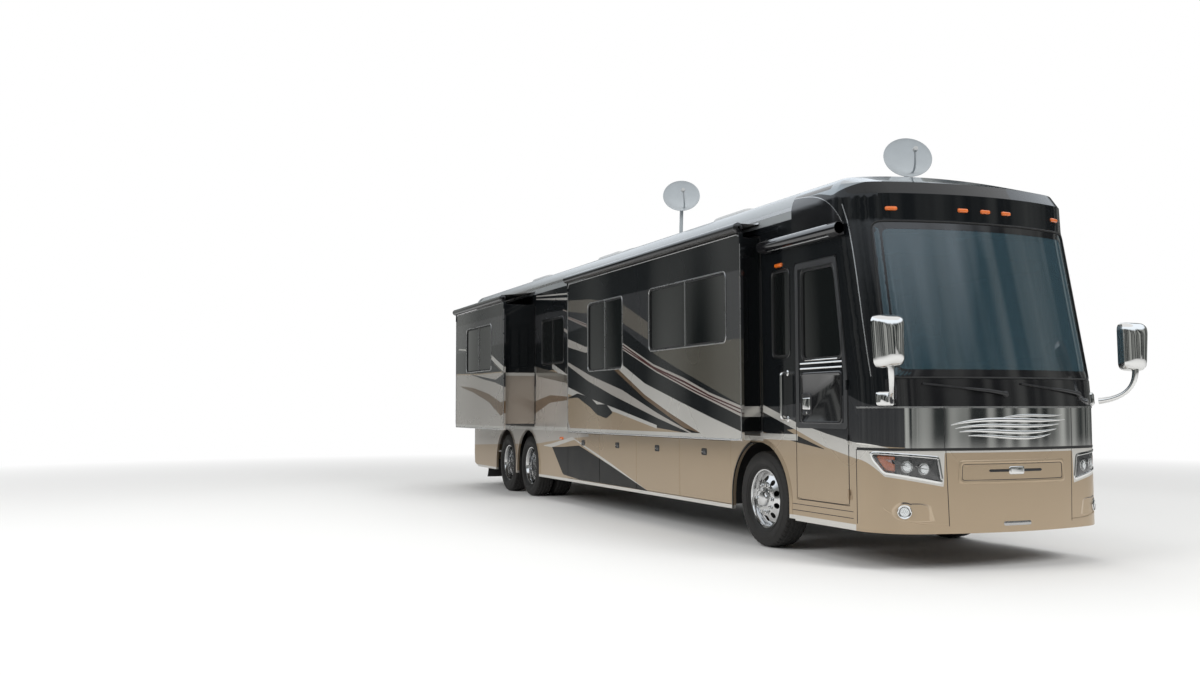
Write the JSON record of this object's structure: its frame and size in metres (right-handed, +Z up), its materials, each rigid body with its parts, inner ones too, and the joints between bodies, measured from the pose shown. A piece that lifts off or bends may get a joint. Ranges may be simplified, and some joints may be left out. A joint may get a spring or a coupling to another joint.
{
  "type": "three-axle diesel motorhome with slide-out rooms",
  "caption": "Long bus-style motorhome with a rear engine, tag axle, slide-out rooms, a wide windshield, baggage bay doors and a swept two-tone paint scheme.",
  "frame": {"origin": "on the ground at the middle of the overall box, mirrors and slide-out rooms included", "axes": "-Y towards the front of the vehicle, +Z up, -X to the side with the entry door"},
  "size_m": [3.816, 13.84, 4.52],
  "materials": {
    "paint": "gloss",
    "skirt_paint": "metallic gloss",
    "roof_white": "satin",
    "glass": "tinted",
    "lamp_glass": "clear",
    "lamp_red": "gloss",
    "chrome": "polished",
    "wheel_metal": "polished",
    "tyre": "matt",
    "steel": "satin",
    "iron": "rough",
    "floor": "satin",
    "black_plastic": "matt",
    "seat": "satin",
    "dish": "satin"
  },
  "bodies": {
    "coach": {"front_cap": "paint", "nose_band": "chrome", "windshield": "glass", "front_fascia": "skirt_paint", "headlamps": "lamp_glass", "wall_right": "paint", "wall_left": "paint", "side_glass": "glass", "roof": "roof_white", "rear_cap": "paint", "tail_lamps": "lamp_red", "skirt_right": "skirt_paint", "skirt_left": "skirt_paint", "basement": "steel", "cabin_floor": "floor", "chassis_frame": "steel", "front_axle": "iron", "rear_axles": "iron", "engine": "iron", "dashboard": "black_plastic", "cab_seats": "seat", "mirrors": "chrome", "wipers": "black_plastic", "roof_units": "roof_white", "satellite_dishes": "dish", "awning_cases": "paint", "hitch": "steel"},
    "entry_door": {"entry_door": "paint", "entry_door_glass": "glass"},
    "engine_door": {"engine_door": "paint"},
    "knuckle_right": {"knuckle_right": "iron"},
    "front_wheel_right": {"front_rim_right": "wheel_metal", "front_tyre_right": "tyre"},
    "drive_wheels_right": {"drive_rims_right": "wheel_metal", "drive_tyres_right": "tyre"},
    "tag_wheel_right": {"tag_rim_right": "wheel_metal", "tag_tyre_right": "tyre"},
    "bay_door_right_1": {"bay_door_right_1": "skirt_paint"},
    "bay_door_right_2": {"bay_door_right_2": "skirt_paint"},
    "bay_door_right_3": {"bay_door_right_3": "skirt_paint"},
    "bay_door_right_4": {"bay_door_right_4": "skirt_paint"},
    "knuckle_left": {"knuckle_left": "iron"},
    "front_wheel_left": {"front_rim_left": "wheel_metal", "front_tyre_left": "tyre"},
    "drive_wheels_left": {"drive_rims_left": "wheel_metal", "drive_tyres_left": "tyre"},
    "tag_wheel_left": {"tag_rim_left": "wheel_metal", "tag_tyre_left": "tyre"},
    "bay_door_left_1": {"bay_door_left_1": "skirt_paint"},
    "bay_door_left_2": {"bay_door_left_2": "skirt_paint"},
    "bay_door_left_3": {"bay_door_left_3": "skirt_paint"},
    "bay_door_left_4": {"bay_door_left_4": "skirt_paint"},
    "slide_right_front": {"slide_right_front": "paint", "slide_right_front_glass": "glass"},
    "slide_right_rear": {"slide_right_rear": "paint", "slide_right_rear_glass": "glass"},
    "slide_left": {"slide_left": "paint", "slide_left_glass": "glass"}
  },
  "joints": [
    {"name": "steer_right", "type": "hinge", "parent": "coach", "child": "knuckle_right", "pos_m": [-0.88, -4.43, 0.5], "axis": [0, 0, 1], "range_deg": [-40, 40]},
    {"name": "front_wheel_spin_right", "type": "hinge", "parent": "knuckle_right", "child": "front_wheel_right", "pos_m": [-1.12, -4.43, 0.5], "axis": [1, 0, 0], "continuous": true},
    {"name": "drive_wheel_spin_right", "type": "hinge", "parent": "coach", "child": "drive_wheels_right", "pos_m": [-1.12, 3.33, 0.5], "axis": [1, 0, 0], "continuous": true},
    {"name": "tag_wheel_spin_right", "type": "hinge", "parent": "coach", "child": "tag_wheel_right", "pos_m": [-1.12, 4.57, 0.5], "axis": [1, 0, 0], "continuous": true},
    {"name": "steer_left", "type": "hinge", "parent": "coach", "child": "knuckle_left", "pos_m": [0.88, -4.43, 0.5], "axis": [0, 0, 1], "range_deg": [-40, 40]},
    {"name": "front_wheel_spin_left", "type": "hinge", "parent": "knuckle_left", "child": "front_wheel_left", "pos_m": [1.12, -4.43, 0.5], "axis": [1, 0, 0], "continuous": true},
    {"name": "drive_wheel_spin_left", "type": "hinge", "parent": "coach", "child": "drive_wheels_left", "pos_m": [1.12, 3.33, 0.5], "axis": [1, 0, 0], "continuous": true},
    {"name": "tag_wheel_spin_left", "type": "hinge", "parent": "coach", "child": "tag_wheel_left", "pos_m": [1.12, 4.57, 0.5], "axis": [1, 0, 0], "continuous": true},
    {"name": "entry_door_hinge", "type": "hinge", "parent": "coach", "child": "entry_door", "pos_m": [-1.298, -6.053, 1.15], "axis": [0, 0, 1], "range_deg": [0, 90]},
    {"name": "bay_door_hinge_right_1", "type": "hinge", "parent": "coach", "child": "bay_door_right_1", "pos_m": [-1.273, -3.772, 0.72], "axis": [0, 0, 1], "range_deg": [0, 90]},
    {"name": "bay_door_hinge_right_2", "type": "hinge", "parent": "coach", "child": "bay_door_right_2", "pos_m": [-1.273, -2.472, 0.72], "axis": [0, 0, 1], "range_deg": [0, 90]},
    {"name": "bay_door_hinge_right_3", "type": "hinge", "parent": "coach", "child": "bay_door_right_3", "pos_m": [-1.273, -1.172, 0.72], "axis": [0, 0, 1], "range_deg": [0, 90]},
    {"name": "bay_door_hinge_right_4", "type": "hinge", "parent": "coach", "child": "bay_door_right_4", "pos_m": [-1.273, 0.128, 0.72], "axis": [0, 0, 1], "range_deg": [0, 90]},
    {"name": "bay_door_hinge_left_1", "type": "hinge", "parent": "coach", "child": "bay_door_left_1", "pos_m": [1.273, -3.772, 0.72], "axis": [0, 0, -1], "range_deg": [0, 90]},
    {"name": "bay_door_hinge_left_2", "type": "hinge", "parent": "coach", "child": "bay_door_left_2", "pos_m": [1.273, -2.472, 0.72], "axis": [0, 0, -1], "range_deg": [0, 90]},
    {"name": "bay_door_hinge_left_3", "type": "hinge", "parent": "coach", "child": "bay_door_left_3", "pos_m": [1.273, -1.172, 0.72], "axis": [0, 0, -1], "range_deg": [0, 90]},
    {"name": "bay_door_hinge_left_4", "type": "hinge", "parent": "coach", "child": "bay_door_left_4", "pos_m": [1.273, 0.128, 0.72], "axis": [0, 0, -1], "range_deg": [0, 90]},
    {"name": "engine_door_hinge", "type": "hinge", "parent": "coach", "child": "engine_door", "pos_m": [0, 6.8826, 1.637], "axis": [1, 0, 0], "range_deg": [0, 85]},
    {"name": "slide_right_front_travel", "type": "slide", "parent": "coach", "child": "slide_right_front", "axis": [-1, 0, 0], "range_m": [-0.215, 0]},
    {"name": "slide_right_rear_travel", "type": "slide", "parent": "coach", "child": "slide_right_rear", "axis": [-1, 0, 0], "range_m": [-0.51, 0]},
    {"name": "slide_left_travel", "type": "slide", "parent": "coach", "child": "slide_left", "axis": [1, 0, 0], "range_m": [-0.51, 0]}
  ],
  "couplings": [
    {"joint": "steer_left", "follows": "steer_right", "ratio": 1}
  ]
}
